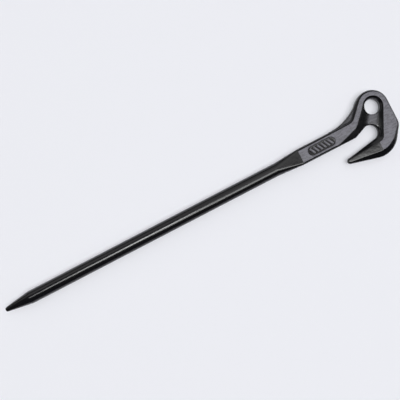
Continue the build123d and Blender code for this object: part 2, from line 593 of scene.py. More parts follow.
# How the dies soften the outline's edge, from the neck round to the throat.
EDGE_STATIONS = (
    Station(80.0, 5.35, 1.5, 1.6, 1.35),
    Station(45.0, 5.35, 1.5, 1.6, 1.35),
    Station(28.0, 7.0, 1.4, 1.5, 1.35),
    Station(10.6, 18.3, 1.5, 1.6, 1.35),
    Station(0.0, 4.0, 1.4, 1.5, 1.35),
    Station(0.0, -6.0, 1.4, 1.5, 1.35),
    Station(2.0, -10.6, 1.9, 1.6, 1.7),
    Station(5.0, -15.4, 3.0, 2.2, 1.4),
    Station(9.0, -20.5, 4.0, 2.6, 1.2),
    Station(16.0, -24.0, 4.1, 2.6, 1.15),
    Station(23.0, -23.4, 3.4, 2.5, 1.15),
    Station(30.0, -21.2, 2.5, 2.1, 1.15),
    Station(37.0, -19.0, 1.5, 1.6, 1.3),
    Station(40.5, -17.0, 0.9, 1.0, 1.6),
    Station(37.0, -15.2, 0.7, 0.8, 2.0),
    Station(22.0, -12.0, 0.9, 1.0, 2.0),
    Station(17.5, -10.8, 1.3, 1.7, 2.0),
    Station(15.1, -6.8, 1.4, 1.8, 2.0),
    Station(17.0, -2.9, 1.0, 1.1, 2.0),
    Station(22.0, -2.2, 0.9, 0.9, 2.0),
    Station(31.0, -5.3, 0.9, 0.9, 2.0),
    Station(46.0, -5.35, 1.5, 1.6, 1.35),
    Station(80.0, -5.35, 1.5, 1.6, 1.35),
)

# How the faces slope down into the throat, from the tail of the recess round to the prong's nose.
RECESS_STATIONS = (
    Station(42.0, -5.3, 4.5, 1.6),
    Station(30.0, -1.5, 6.2, 1.6),
    Station(24.0, 3.0, 7.4, 1.7),
    Station(18.5, 9.0, 7.0, 1.7),
    Station(15.5, 12.3, 2.4, 1.5),
    Station(12.5, 14.2, 1.4, 1.4),
    Station(5.0, 11.5, 1.4, 1.4),
    Station(4.0, 6.0, 2.4, 1.5, 1.3),
    Station(6.0, 1.8, 4.6, 1.6, 1.8),
    Station(8.5, -3.4, 6.0, 1.7, 1.9),
    Station(10.6, -7.7, 5.0, 1.7, 1.6),
    Station(12.5, -11.5, 3.6, 1.6, 1.2),
    Station(16.0, -14.4, 3.0, 2.0),
    Station(24.0, -15.1, 2.5, 2.2),
    Station(32.0, -15.6, 2.0, 1.9),
    Station(38.7, -16.0, 1.4, 1.4),
)


@dataclass(frozen=True)
class DieSizes:
    """Sizes of the dies, in millimetres. Those that the CAD model fixes are read from its frame.

    Attributes:
        length: Length of the stake.
        bar_radius: Radius of the round bar.
        bar_start: Where the point's cone ends, back from the striking face, as all setbacks are.
        taper_start: Where the bar starts to flatten.
        neck_setback: Where the flat neck starts.
        neck_half: Half the neck's height in plan.
        half: Half the neck's and the head's thickness.
        face_x: The striking face in the CAD model's frame.
        axis_y: The shank's axis there, across the stake.
        axis_z: The shank's axis there, above the ground.
        head_radius: Radius of the head's round end, about the eye.
        eye_radius: Radius of the eye.
        eye_rise: The eye's centre above the shank's axis.
        eye_round: Rounding of the eye's rims.
        rim_width: Width of the full thickness round the eye.
        rim_angle: Slope of the rim up from the neck, in degrees.
        rim_bend: Radius of the bend between the neck and the rim.
        face_drop: The striking face's lower corner below the axis, before it is rounded.
        heel_angle: Slope of the heel under the striking face, in degrees.
        heel_corner: Radius of the corner between the striking face and the heel.
        hook_bend: Radius of the hook's outer bend.
        seat_radius: Radius of the hook's round seat.
        seat_setback: The seat's centre, back from the striking face.
        seat_drop: The seat's centre below the axis.
        nose_radius: Radius of the prong's nose.
        nose_setback: The nose's centre, back from the striking face.
        nose_drop: The nose's centre below the axis.
        prong_taper: Angle between the prong's two sides, in degrees.
        prong_tip_half: Half the prong's thickness at its nose.
        throat_flare: How far the throat's upper side opens out, in degrees.
        web_tail: Where the recess runs out of the neck's lower side.
        web_corner_rise: The recess's corner in the bend, above the axis.
        web_back_angle: Slope of the recess's side along the head's back, in degrees.
        web_bend: Radius of the recess's corner in the bend.
        prong_bevel_angle: Slope of the recess's side along the prong, in degrees.
        elbow_bend: Radius of the recess's corner between the back and the prong.
        gusset_setback: Where the gusset runs out of the neck.
        gusset_half: Half the gusset's thickness at its edge.
        edge: Radius of the neck's corners where the taper reaches it.
    """

    length: float
    bar_radius: float
    bar_start: float
    taper_start: float
    neck_setback: float
    neck_half: float
    half: float
    face_x: float
    axis_y: float
    axis_z: float
    head_radius: float = 10.6
    eye_radius: float = 5.0
    eye_rise: float = 7.7
    eye_round: float = 1.0
    rim_width: float = 3.85
    rim_angle: float = 47.0
    rim_bend: float = 5.5
    face_drop: float = 9.4
    heel_angle: float = 58.0
    heel_corner: float = 8.0
    hook_bend: float = 15.0
    seat_radius: float = 5.0
    seat_setback: float = 19.0
    seat_drop: float = 6.8
    nose_radius: float = 1.8
    nose_setback: float = 38.7
    nose_drop: float = 17.1
    prong_taper: float = 24.5
    prong_tip_half: float = 1.5
    throat_flare: float = 22.5
    web_tail: float = 44.5
    web_corner_rise: float = 0.9
    web_back_angle: float = 64.0
    web_bend: float = 6.0
    prong_bevel_angle: float = 3.3
    elbow_bend: float = 4.5
    gusset_setback: float = 43.0
    gusset_half: float = 1.5
    edge: float = 1.3

    @classmethod
    def from_frame(cls) -> "DieSizes":
        """Read the sizes that the CAD model fixes.

        Returns:
            The dies' sizes.
        """
        low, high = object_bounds()
        bar_low, bar_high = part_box("shank")
        neck_low, neck_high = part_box("neck")
        axis = (bar_low + bar_high) / 2
        return cls(
            length=(high.x - low.x) / MM,
            bar_radius=(bar_high.z - bar_low.z) / 2 / MM,
            bar_start=(high.x - bar_low.x) / MM,
            taper_start=(high.x - bar_high.x) / MM,
            neck_setback=(high.x - neck_low.x) / MM,
            neck_half=(neck_high.y - neck_low.y) / 2 / MM,
            half=(neck_high.z - neck_low.z) / 2 / MM,
            face_x=high.x / MM,
            axis_y=axis.y / MM,
            axis_z=axis.z / MM,
        )

    @property
    def eye(self) -> Array:
        """The eye's centre."""
        return np.array([-self.head_radius, self.eye_rise])

    @property
    def seat(self) -> Array:
        """Centre of the hook's round seat."""
        return np.array([-self.seat_setback, -self.seat_drop])

    @property
    def nose(self) -> Array:
        """Centre of the prong's round nose."""
        return np.array([-self.nose_setback, -self.nose_drop])

    @property
    def pocket_radius(self) -> float:
        """Radius of the recess round the eye."""
        return self.head_radius - self.rim_width

    @property
    def inner_angle(self) -> float:
        """Slope of the prong's side that faces the throat, in degrees."""
        span = self.seat - self.nose
        touch = (self.nose_radius + self.seat_radius) / np.linalg.norm(span)
        return math.degrees(math.atan2(span[1], span[0]) - math.asin(touch))

    def head_outline(self) -> Outline:
        """Plan of the neck and the head where they have their full thickness."""
        inner, outer = self.inner_angle, self.inner_angle - self.prong_taper
        across = np.array([1.0, 0.0])
        neck_high = np.array([-self.taper_start, self.neck_half])
        neck_low = neck_high * (1.0, -1.0)
        rim_top = self.eye + turned(90 + self.rim_angle) * self.head_radius
        rim_corner = crossing(rim_top, turned(self.rim_angle), neck_high, across)
        rim_bend = rounded(neck_high, rim_corner, rim_top, self.rim_bend)
        round_end = Arc(self.eye, self.head_radius, 90 + self.rim_angle, 0.0)
        face_top, face_low = np.array([0.0, self.eye_rise]), np.array([0.0, -self.face_drop])
        nose_outer = self.nose + turned(outer - 90) * self.nose_radius
        hook_corner = crossing(face_low, turned(self.heel_angle), nose_outer, turned(outer))
        heel = rounded(face_top, face_low, hook_corner, self.heel_corner)
        bend = rounded(face_low, hook_corner, nose_outer, self.hook_bend)
        nose_round = Arc(self.nose, self.nose_radius, outer + 270, inner + 90)
        nose_inner = self.nose + turned(inner + 90) * self.nose_radius
        seat_low = self.seat + turned(inner - 90) * self.seat_radius
        seat_high = self.seat + turned(self.throat_flare + 90) * self.seat_radius
        seat_round = Arc(self.seat, self.seat_radius, inner - 90, self.throat_flare + 90)
        mouth = crossing(seat_high, turned(self.throat_flare), neck_low, across)
        return Outline((
            Segment(neck_high, rim_bend.start),
            rim_bend,
            Segment(rim_bend.end, rim_top),
            round_end,
            Segment(face_top, heel.start),
            heel,
            Segment(heel.end, bend.start),
            bend,
            Segment(bend.end, nose_outer),
            nose_round,
            Segment(nose_inner, seat_low),
            seat_round,
            Segment(seat_high, mouth),
            Segment(mouth, neck_low),
            Segment(neck_low, neck_high),
        ), EDGE_STATIONS)

    def gusset_outline(self) -> Outline:
        """Plan of the gusset: a hollow curve tangent to the neck and to the round end."""
        start = np.array([-self.gusset_setback, self.neck_half])
        gap = self.eye - start
        radius = (gap @ gap - self.head_radius**2) / (2 * (self.head_radius + gap[1]))
        centre = start + np.array([0.0, radius])
        to_eye = math.degrees(math.atan2(*(self.eye - centre)[::-1]))
        touch = centre + turned(to_eye) * radius
        inner = np.array([self.eye[0], 0.0]), np.array([start[0], 0.0])
        return Outline((
            Arc(centre, radius, -90.0, to_eye),
            Segment(touch, self.eye),
            Segment(self.eye, inner[0]),
            Segment(inner[0], inner[1]),
            Segment(inner[1], start),
        ))

    def recess_outline(self) -> Outline:
        """Plan of where the faces slope down into the throat; it is open past the prong's nose."""
        tail = np.array([-self.web_tail, -self.neck_half])
        rim_side = self.eye + turned(90 + self.rim_angle) * self.pocket_radius
        level = np.array([0.0, self.web_corner_rise])
        corner = crossing(rim_side, turned(self.rim_angle), level, np.array([1.0, 0.0]))
        corner_bend = rounded(tail, corner, rim_side, self.web_bend)
        back_side = self.eye + turned(self.web_back_angle - 90) * self.pocket_radius
        ring = Arc(self.eye, self.pocket_radius, 90 + self.rim_angle, self.web_back_angle - 90)
        prong = np.array([-self.nose_setback, -self.nose_drop + self.nose_radius * 0.6])
        elbow = crossing(
            prong, turned(self.prong_bevel_angle), back_side, turned(self.web_back_angle)
        )
        elbow_bend = rounded(back_side, elbow, prong, self.elbow_bend)
        away = np.array([-2 * self.nose_setback, 0.0])
        return Outline((
            Segment(away + (0.0, tail[1]), tail),
            Segment(tail, corner_bend.start),
            corner_bend,
            Segment(corner_bend.end, rim_side),
            ring,
            Segment(back_side, elbow_bend.start),
            elbow_bend,
            Segment(elbow_bend.end, prong),
            Segment(prong, away + (0.0, prong[1])),
            Segment(away + (0.0, prong[1]), away + (0.0, tail[1])),
        ), RECESS_STATIONS)


# ---------------------------------------------------------------------------------------------
# Meshing a solid that is given by a rule


def soft_least(first: Array, second: Array, blend: float) -> Array:
    """The smaller of two fields, with the crease between them rounded over a distance."""
    share = np.clip(0.5 + 0.5 * (second - first) / blend, 0.0, 1.0)
    return second + (first - second) * share - blend * share * (1.0 - share)


def soft_most(first: Array, second: Array, blend: float) -> Array:
    """The larger of two fields, with the crease between them rounded over a distance."""
    return -soft_least(-first, -second, blend)


def smooth(value: Array) -> Array:
    """Smooth step from 0 to 1."""
    held = np.clip(value, 0.0, 1.0)
    return held * held * (3.0 - 2.0 * held)


@dataclass
class Unevenness:
    """Slow random waves, as a hammer and scale leave them on a forging.

    Attributes:
        seed: Seed of the waves' directions and phases.
        length: Length of the longest wave.
        count: How many waves are added up.
    """

    seed: int
    length: float
    count: int = 9

    def __post_init__(self) -> None:
        """Draw the waves."""
        dice = np.random.default_rng(self.seed)
        ways = dice.normal(size=(self.count, 3))
        ways /= np.linalg.norm(ways, axis=1)[:, None]
        self.waves = ways * (2 * math.pi / self.length) * dice.uniform(1.0, 2.8, (self.count, 1))
        self.phases = dice.uniform(0.0, 2 * math.pi, self.count)

    def at(self, x: Array, y: Array, z: Array) -> Array:
        """The waves' height at each place, roughly from -1 to 1."""
        total = np.zeros(np.broadcast(x, y, z).shape)
        for (wx, wy, wz), phase in zip(self.waves, self.phases):
            total = total + np.sin(wx * x + wy * y + wz * z + phase)
        return total / math.sqrt(2.0 * self.count)


@dataclass
class FieldMesher:
    """Turns a solid, given as a field that is negative inside it, into a closed mesh.

    Attributes:
        rule: The field at places given as three arrays.
        axes: The grid's lines along X, Y and Z.
    """

    rule: Callable[[Array, Array, Array], Array]
    axes: tuple[Array, Array, Array]

    def mesh(self) -> tuple[Array, Array]:
        """Build the mesh.

        Returns:
            The points, one per row, and the four-sided faces, which point outwards.
        """
        grid = np.meshgrid(*self.axes, indexing="ij", sparse=True)
        values = self.rule(*grid)
        inside = values < 0.0
        cells = tuple(n - 1 for n in values.shape)
        total = np.zeros((*cells, 3))
        hits = np.zeros(cells)
        for axis in range(3):
            self._add_crossings(values, inside, axis, total, hits)
        number = np.full(cells, -1, np.int64)
        surface = hits > 0
        number[surface] = np.arange(int(surface.sum()))
        points = total[surface] / hits[surface][:, None]
        faces = np.vstack([self._faces(inside, number, axis) for axis in range(3)])
        return self._settled(points), faces

    def _add_crossings(
        self, values: Array, inside: Array, axis: int, total: Array, hits: Array
    ) -> None:
        """Add where the grid's lines along one axis cross the surface to the cells round them."""
        near = [slice(None)] * 3
        far = [slice(None)] * 3
        near[axis], far[axis] = slice(None, -1), slice(1, None)
        near, far = tuple(near), tuple(far)
        crosses = inside[near] != inside[far]
        place = np.argwhere(crosses)
        low, high = values[near][crosses], values[far][crosses]
        share = low / (low - high)
        where = np.stack([self.axes[k][place[:, k]] for k in range(3)], axis=1)
        step = self.axes[axis][place[:, axis] + 1] - self.axes[axis][place[:, axis]]
        where[:, axis] += share * step
        others = [k for k in range(3) if k != axis]
        for back_a in (0, 1):
            for back_b in (0, 1):
                cell = place.copy()
                cell[:, others[0]] -= back_a
                cell[:, others[1]] -= back_b
                kept = np.all((cell >= 0) & (cell < hits.shape), axis=1)
                index = tuple(cell[kept].T)
                np.add.at(total, index, where[kept])
                np.add.at(hits, index, 1.0)

    @staticmethod
    def _faces(inside: Array, number: Array, axis: int) -> Array:
        """Faces across the grid's lines along one axis."""
        near = [slice(None)] * 3
        far = [slice(None)] * 3
        near[axis], far[axis] = slice(None, -1), slice(1, None)
        crosses = np.argwhere(inside[tuple(near)] != inside[tuple(far)])
        a, b = (axis + 1) % 3, (axis + 2) % 3
        crosses = crosses[(crosses[:, a] > 0) & (crosses[:, b] > 0)]
        corners = []
        for back_a, back_b in ((1, 1), (0, 1), (0, 0), (1, 0)):
            cell = crosses.copy()
            cell[:, a] -= back_a
            cell[:, b] -= back_b
            corners.append(number[tuple(cell.T)])
        faces = np.stack(corners, axis=1)
        outward = inside[tuple(crosses.T)]
        return np.where(outward[:, None], faces, faces[:, ::-1])

    def _settled(self, points: Array, rounds: int = 3, reach: float = 0.2) -> Array:
        """Move points onto the surface along the field's slope.

        Args:
            points: The points to move.
            rounds: How often they are moved.
            reach: The furthest that one move goes.

        Returns:
            The moved points.
        """
        small = 0.02
        for _ in range(rounds):
            value, slope = self.slope(points, small)
            steep = np.maximum(np.sum(slope * slope, axis=1), 0.04)
            move = -(value / steep)[:, None] * slope
            size = np.maximum(np.linalg.norm(move, axis=1), 1e-9)
            points = points + move * np.minimum(1.0, reach / size)[:, None]
        return points

    def slope(self, points: Array, small: float) -> tuple[Array, Array]:
        """The field and its slope at some points.

        Args:
            points: The points, one per row.
            small: The step of the difference.

        Returns:
            The field at each point, and its slope as one row each.
        """
        columns = points.T
        parts = []
        for axis in range(3):
            step = np.zeros(3)
            step[axis] = small
            ahead = self.rule(*(columns + step[:, None]))
            behind = self.rule(*(columns - step[:, None]))
            parts.append((ahead - behind) / (2 * small))
        return self.rule(*columns), np.stack(parts, axis=1)


def new_object(name: str, points: Array, faces: Array) -> bpy.types.Object:
    """Make a smooth-shaded mesh object in the scene.

    Args:
        name: The object's name.
        points: The points in metres.
        faces: The faces' point numbers.

    Returns:
        The new object.
    """
    mesh = bpy.data.meshes.new(name)
    mesh.from_pydata(points.tolist(), [], faces.tolist())
    mesh.validate()
    made = bpy.data.objects.new(name, mesh)
    bpy.context.scene.collection.objects.link(made)
    mesh.polygons.foreach_set("use_smooth", np.ones(len(mesh.polygons), bool))
    mesh.set_sharp_from_angle(angle=math.radians(50.0))
    return made


def give_attribute(piece: bpy.types.Object, name: str, values: Array) -> None:
    """Store one number per point on a mesh."""
    attribute = piece.data.attributes.new(name, "FLOAT", "POINT")
    attribute.data.foreach_set("value", values.astype(np.float32))


# ---------------------------------------------------------------------------------------------
# Sub-assemblies


class Side(Enum):
    """Which flat side of the stake something is on."""

    UPPER = 1
    LOWER = -1


@dataclass(frozen=True)
class GripPanel:
    """Shallow oblong panel sunk in the neck, with a row of slanting ribs in it.

    Attributes:
        setback: The panel's middle, back from the striking face, in millimetres.
        length: Length of the panel.
        width: Width of the panel.
        depth: Depth of its floor.
        wall: Width of its sloping wall.
        ribs: How many ribs it has.
        side: The side of the stake that it is on.
    """

    setback: float = 51.4
    length: float = 19.6
    width: float = 6.6
    depth: float = 0.6
    wall: float = 0.9
    ribs: int = 6
    side: Side = Side.UPPER

    def depth_at(self, x: Array, y: Array) -> Array:
        """How deep the panel is at each place, in millimetres."""
        half = self.width / 2
        past = np.maximum(np.abs(x + self.setback) - (self.length / 2 - half), 0.0)
        inside = half - np.hypot(past, y)
        return self.depth * np.sin(np.clip(inside / self.wall, 0.0, 1.0) * math.pi / 2)


@dataclass
class PressedHead:
    """The pressed end of the stake: taper, neck, rim, web, gusset, striking face and hook.

    Attributes:
        sizes: The dies' sizes.
        panel: The panel sunk in the neck.
        coat: The finish.
        pitch: Size of the mesh's faces, in millimetres.
        crease: Rounding of the edges that the dies leave crisp.
        broad_waves: Height of the forging's slow waves.
        fine_waves: Height of its short waves.
        witness: How far the line where the dies part stands out.
        fin_crease: Rounding of the gusset's edge.
        fin_blend: Rounding of the corner between the gusset and the rim.
        fin_rise: How fast the gusset gets thicker towards the rim.
        landing_sheen_share: How much of the pressed faces' painted sheen and duller coat the
            recess's floor gets, from 0 to 1.
        shelf_sheen_share: How much of it the gusset's face gets.
    """

    sizes: DieSizes
    panel: GripPanel
    coat: BlackCoat
    pitch: float = 0.28
    crease: float = 0.22
    broad_waves: float = 0.020
    fine_waves: float = 0.005
    witness: float = 0.10
    fin_crease: float = 0.35
    fin_blend: float = 0.7
    fin_rise: float = 0.03
    landing_sheen_share: float = 0.6
    shelf_sheen_share: float = 0.3
    outline: Outline = field(init=False)
    gusset: Outline = field(init=False)
    recess: Outline = field(init=False)

    def __post_init__(self) -> None:
        """Draw the outlines, and the forging's unevenness."""
        self.outline = self.sizes.head_outline()
        self.gusset = self.sizes.gusset_outline()
        self.recess = self.sizes.recess_outline()
        self.broad = Unevenness(seed=11, length=14.0)
        self.fine = Unevenness(seed=12, length=4.5)

    def build(self) -> bpy.types.Object:
        """Mesh the head and dress it.

        Returns:
            The finished piece.
        """
        sizes = self.sizes
        margin = 3 * self.pitch
        low = self.outline.sides[0].start[0]
        spans = (
            (low, margin),
            (-(sizes.nose_drop + sizes.hook_bend), sizes.eye_rise + sizes.head_radius + margin),
            (-sizes.bar_radius - margin, sizes.bar_radius + margin),
        )
        axes = [np.arange(first, last, self.pitch) for first, last in spans]
        axes[0] = np.concatenate(([low - self.pitch, low - self.pitch * 0.01], axes[0][1:]))
        mesher = FieldMesher(self.solid, tuple(axes))
        points, faces = mesher.mesh()
        points = self.squared(points)
        _, normals = mesher.slope(points, 0.05)
        normals /= np.maximum(np.linalg.norm(normals, axis=1), 1e-9)[:, None]
        piece = new_object("pressed_head", self.placed(points), faces)
        # The pressed faces are painted lighter, partly for a duller coat, partly as painted sheen.
        give_attribute(piece, "pressed_sheen", self.pressed_sheen(points))
        give_attribute(piece, "edge", self.edges(faces, points, normals))
        piece.data.materials.append(self.coat.material())
        return piece

    def squared(self, points: Array) -> Array:
        """Square off the end that meets the round bar, on the bar's exact circle."""
        sizes = self.sizes
        start = -sizes.taper_start
        across = np.hypot(points[:, 1], points[:, 2])
        at_end = points[:, 0] < start + 0.95 * self.pitch
        on_rim = at_end & (across > sizes.bar_radius - 0.03)
        squared = points.copy()
        squared[at_end, 0] = start
        squared[on_rim, 1:] *= (sizes.bar_radius / across[on_rim])[:, None]
        return squared

    def placed(self, points: Array) -> Array:
        """Points in metres in the CAD model's frame."""
        sizes = self.sizes
        return (points + (sizes.face_x, sizes.axis_y, sizes.axis_z)) * MM

    def solid(self, x: Array, y: Array, z: Array) -> Array:
        """The head as a field, negative inside, in millimetres.

        Args:
            x: Places along the shank, back from the striking face.
            y: Places across it.
            z: Places above the plane where the dies part.

        Returns:
            The field, of the three arrays' common shape.
        """
        x, y = np.broadcast_arrays(x, y)
        edge = self.outline.band(x, y)
        inside, inside_gusset = edge.inside, self.gusset.band(x, y).inside
        lower = self.height(x, y, edge)
        upper = lower - self.panel.depth_at(x, y)
        outward = z * self.panel.side.value
        rough = self.broad_waves * self.broad.at(x, y, z)
        rough = rough + self.fine_waves * self.fine.at(x, y, z)
        height = np.abs(z)
        parting = self.witness * np.exp(-((height / 0.5) ** 2))
        side = -(inside + parting)
        body = soft_most(side, soft_most(outward - upper, -outward - lower, 0.05), self.crease)
        fin_top = height - self.gusset_height(inside_gusset)
        fin = soft_most(-(inside_gusset + parting), fin_top, self.fin_crease)
        head = soft_least(body, fin, self.fin_blend)
        head = soft_most(head, self.bore(x, y), self.sizes.eye_round)
        head = head + rough
        taper = self.taper(x, y, z) + rough * smooth((x + self.sizes.taper_start) / 4.0)
        solid = np.where(x < -self.sizes.neck_setback, taper, head)
        return np.maximum(solid, -self.sizes.taper_start - x)

    def taper(self, x: Array, y: Array, z: Array) -> Array:
        """Round bar flattening into the neck: a straight blend between the two sections."""
        sizes = self.sizes
        share = np.clip(
            (x + sizes.taper_start) / (sizes.taper_start - sizes.neck_setback), 0.0, 1.0
        )
        corner = sizes.bar_radius + (sizes.edge - sizes.bar_radius) * share
        across = np.abs(y) - (sizes.neck_half - sizes.edge) * share
        above = np.abs(z) - (sizes.half - sizes.edge) * share
        outer = np.hypot(np.maximum(across, 0.0), np.maximum(above, 0.0))
        return outer + np.minimum(np.maximum(across, above), 0.0) - corner

    def bore(self, x: Array, y: Array) -> Array:
        """The eye's hole, positive inside it."""
        eye = self.sizes.eye
        return self.sizes.eye_radius - np.hypot(x - eye[0], y - eye[1])

    def gusset_height(self, inside: Array) -> Array:
        """Half thickness of the gusset, rising from its thin edge towards the rim."""
        return self.sizes.gusset_half + self.fin_rise * np.clip(inside, 0.0, 4.0)

    def height(self, x: Array, y: Array, edge: Band) -> Array:
        """Height of the face above the parting plane, without the neck's panel.

        Args:
            x: Places along the shank.
            y: Places across it.
            edge: The softened edge along the outline there.

        Returns:
            The height; the lower face has the same depth.
        """
        top = self.prong_height(x, y)
        drop, share = self.descent(x, y)
        fall = drop * soft_least(share, np.full(x.shape, 0.97), 0.12)
        local = top - soft_most(fall - 0.05, np.zeros(x.shape), self.crease)
        short = np.clip(1.0 - edge.inside / edge.width, 0.0, 1.0)
        profile = np.maximum(1.0 - short**edge.fullness, 0.0) ** (1.0 / edge.fullness)
        return local - np.minimum(edge.drop, 0.75 * local) * (1.0 - profile)

    def descent(self, x: Array, y: Array) -> tuple[Array, Array]:
        """How deep the recess gets at each place, and what share of that it has reached."""
        into = self.recess.band(x, y)
        way = np.clip(into.inside / into.width, -9.0, 1.0)
        eased = 1.0 - (1.0 - np.maximum(way, 0.0)) ** into.fullness
        return into.drop, np.where(way > 0.0, eased, way * into.fullness)

    def prong_height(self, x: Array, y: Array) -> Array:
        """Half thickness under the facet that thins the prong towards its nose."""
        sizes = self.sizes
        root = -sizes.seat_setback + sizes.seat_radius / 2
        nose = -sizes.nose_setback - sizes.nose_radius
        slope = (sizes.half - sizes.prong_tip_half) / (root - nose)
        below = y < -0.5 * (sizes.seat_drop + sizes.nose_drop)
        thinned = sizes.half - slope * np.maximum(root - x, 0.0)
        return np.where(below, thinned, sizes.half)

    def pressed_sheen(self, points: Array) -> Array:
        """How far each point lies on a face that the dies pressed flat, from 0 to 1; it sets where
        the coat is duller and where it is painted lighter as painted sheen.
        """
        x, y, z = points.T
        sizes = self.sizes
        edge = self.outline.band(x, y)
        height = self.height(x, y, edge)
        on_face = smooth((np.abs(z) - (height - 0.35)) / 0.15)
        level = smooth((height - (sizes.half - 0.10)) / 0.07)
        past_taper = smooth((x + sizes.neck_setback + 0.1) / 0.25)
        # The recess's floor and the gusset's face get a share of the pressed faces' painted sheen,
        # for the light they catch.
        landing = smooth((self.descent(x, y)[1] - 0.72) / 0.36)
        landing = landing * smooth((edge.inside - 0.2) / 1.6) * smooth((y + 6.5) / 3.0)
        fin = self.gusset.band(x, y).inside
        shelf = smooth((fin - 0.4) / 0.4) * smooth((-0.1 - edge.inside) / 0.2)
        shelf = shelf * smooth((np.abs(z) - sizes.gusset_half + 0.35) / 0.2)
        return np.maximum(level * past_taper * on_face, np.maximum(
            self.landing_sheen_share * landing * on_face, self.shelf_sheen_share * shelf
        ))

    @staticmethod
    def edges(faces: Array, points: Array, normals: Array) -> Array:
        """How sharply the surface turns outwards at each point, from 0 to 1."""
        total = np.zeros(len(points))
        count = np.zeros(len(points))
        for k in range(4):
            first, second = faces[:, k], faces[:, (k + 1) % 4]
            along = points[second] - points[first]
            length = np.maximum(np.linalg.norm(along, axis=1), 1e-6)
            turn = np.sum((normals[second] - normals[first]) * along, axis=1) / length**2
            for end in (first, second):
                np.add.at(total, end, turn)
                np.add.at(count, end, 1.0)
        return smooth((total / np.maximum(count, 1.0) - 0.35) / 1.2)


@dataclass
class RoundBar:
    """The round bar with its blunt point, turned along a path by a rule.

    Attributes:
        sizes: The dies' sizes.
        coat: The finish.
        nose_radius: Radius of the point's blunt nose, in millimetres.
        nose_depth: Where the cone leaves the nose, as a share of the nose's radius.
        nose_width: The cone's radius there, as a share of it.
        nose_end: Where the nose's own curve stops counting.
        around: Faces round the bar.
        spacing: Distance between the rings along the bar.
        waviness: Height of the bar's slow unevenness.
        crowding: How much closer the rings lie at the nose, as a share of their spacing.
    """

    sizes: DieSizes
    coat: BlackCoat
    nose_radius: float = 1.7
    nose_depth: float = 0.6
    nose_width: float = 0.92
    nose_end: float = 0.75
    around: int = 96
    spacing: float = 0.55
    waviness: float = 0.035
    crowding: float = 0.06

    def build(self) -> bpy.types.Object:
        """Grow the bar with a node tree and turn it into a plain mesh.

        Returns:
            The finished piece.
        """
        sizes = self.sizes
        tip_x = (sizes.face_x - sizes.length) * MM
        end_x = (sizes.face_x - sizes.taper_start) * MM
        values = {
            "Tip X": tip_x,
            "End X": end_x,
            "Axis Y": sizes.axis_y * MM,
            "Axis Z": sizes.axis_z * MM,
            "Bar Radius": sizes.bar_radius * MM,
            "Nose Radius": self.nose_radius * MM,
            "Point Length": (sizes.length - sizes.bar_start) * MM,
            "Rings": int((end_x - tip_x) / (self.spacing * MM)),
            "Around": self.around,
            "Waviness": self.waviness * MM,
            "Coat": self.coat.material(),
        }
        return grown("round_bar", self.tree(values), values)

    def tree(self, values: Mapping[str, Value]) -> bpy.types.NodeTree:
        """Build the tree that turns the bar along its path.

        Args:
            values: The tree's inputs, by name.

        Returns:
            The node tree.
        """
        tree, graph, given = new_tree("round_bar_tree", values)
        start = self._vector(graph, 0.0, given["Axis Y"], given["Axis Z"])
        path = graph.node("GeometryNodeCurvePrimitiveLine", {"mode": "POINTS"}, {
            "Start": start,
            "End": self._vector(graph, 1.0, given["Axis Y"], given["Axis Z"]),
        })
        path = graph.node("GeometryNodeResampleCurve", None, {
            "Curve": path, "Count": given["Rings"],
        })
        share = graph.node("GeometryNodeSplineParameter", output="Factor")
        crowded = share * (share * self.crowding + (1.0 - self.crowding))
        reach = crowded * (given["End X"] - given["Tip X"])
        path = graph.node("GeometryNodeSetPosition", None, {
            "Geometry": path,
            "Position": self._vector(
                graph, given["Tip X"] + reach, given["Axis Y"], given["Axis Z"]
            ),
        })
        path = graph.node("GeometryNodeSetCurveRadius", None, {
            "Curve": path, "Radius": self._radius(given, reach),
        })
        ring = graph.node("GeometryNodeCurvePrimitiveCircle", {"mode": "RADIUS"}, {
            "Resolution": given["Around"], "Radius": 1.0,
        })
        bar = graph.node("GeometryNodeCurveToMesh", None, {
            "Curve": path, "Profile Curve": ring, "Fill Caps": True,
            "Scale": graph.node("GeometryNodeInputRadius"),
        })
        bar = self._uneven(graph, given, bar)
        return finished(tree, graph, bar, given["Coat"])

    @staticmethod
    def _vector(graph: Graph, x: Value, y: Value, z: Value) -> Wire:
        """Join three numbers."""
        return graph.node("ShaderNodeCombineXYZ", None, {"X": x, "Y": y, "Z": z})

    def _radius(self, given: Mapping[str, Wire], reach: Wire) -> Wire:
        """The bar's radius at a distance from its tip: nose, cone, then round bar.

        Args:
            given: The tree's inputs, by name.
            reach: Distance from the tip.

        Returns:
            The radius there.
        """
        nose, bar, length = given["Nose Radius"], given["Bar Radius"], given["Point Length"]
        start, start_radius = nose * self.nose_depth, nose * self.nose_width
        cone = start_radius + (reach - start) * ((bar - start_radius) / (length - start))
        ball = (reach * (2.0 * nose - reach)).most(1e-9).root()
        in_nose = reach.under(nose * self.nose_end)
        tip = ball * in_nose + cone * (1.0 - in_nose)
        return tip.least(cone.most(ball)).least(bar)

    def _uneven(self, graph: Graph, given: Mapping[str, Wire], bar: Wire) -> Wire:
        """Move the bar's surface in and out a little, fading to nothing at the head."""
        place = graph.node("GeometryNodeInputPosition")
        waves = graph.node("ShaderNodeTexNoise", {"noise_dimensions": "4D"}, {
            "Vector": place, "W": 3.7, "Scale": 90.0, "Detail": 2.0,
        }, "Fac")
        along = graph.node("ShaderNodeSeparateXYZ", None, {"Vector": place}, "X")
        fade = (given["End X"] - along).ramp(0.001, 0.02)
        normal = graph.node("GeometryNodeInputNormal")
        shift = graph.node("ShaderNodeVectorMath", {"operation": "SCALE"}, {
            "Vector": normal, "Scale": (waves - 0.5) * given["Waviness"] * 2.0 * fade,
        })
        return graph.node("GeometryNodeSetPosition", None, {"Geometry": bar, "Offset": shift})


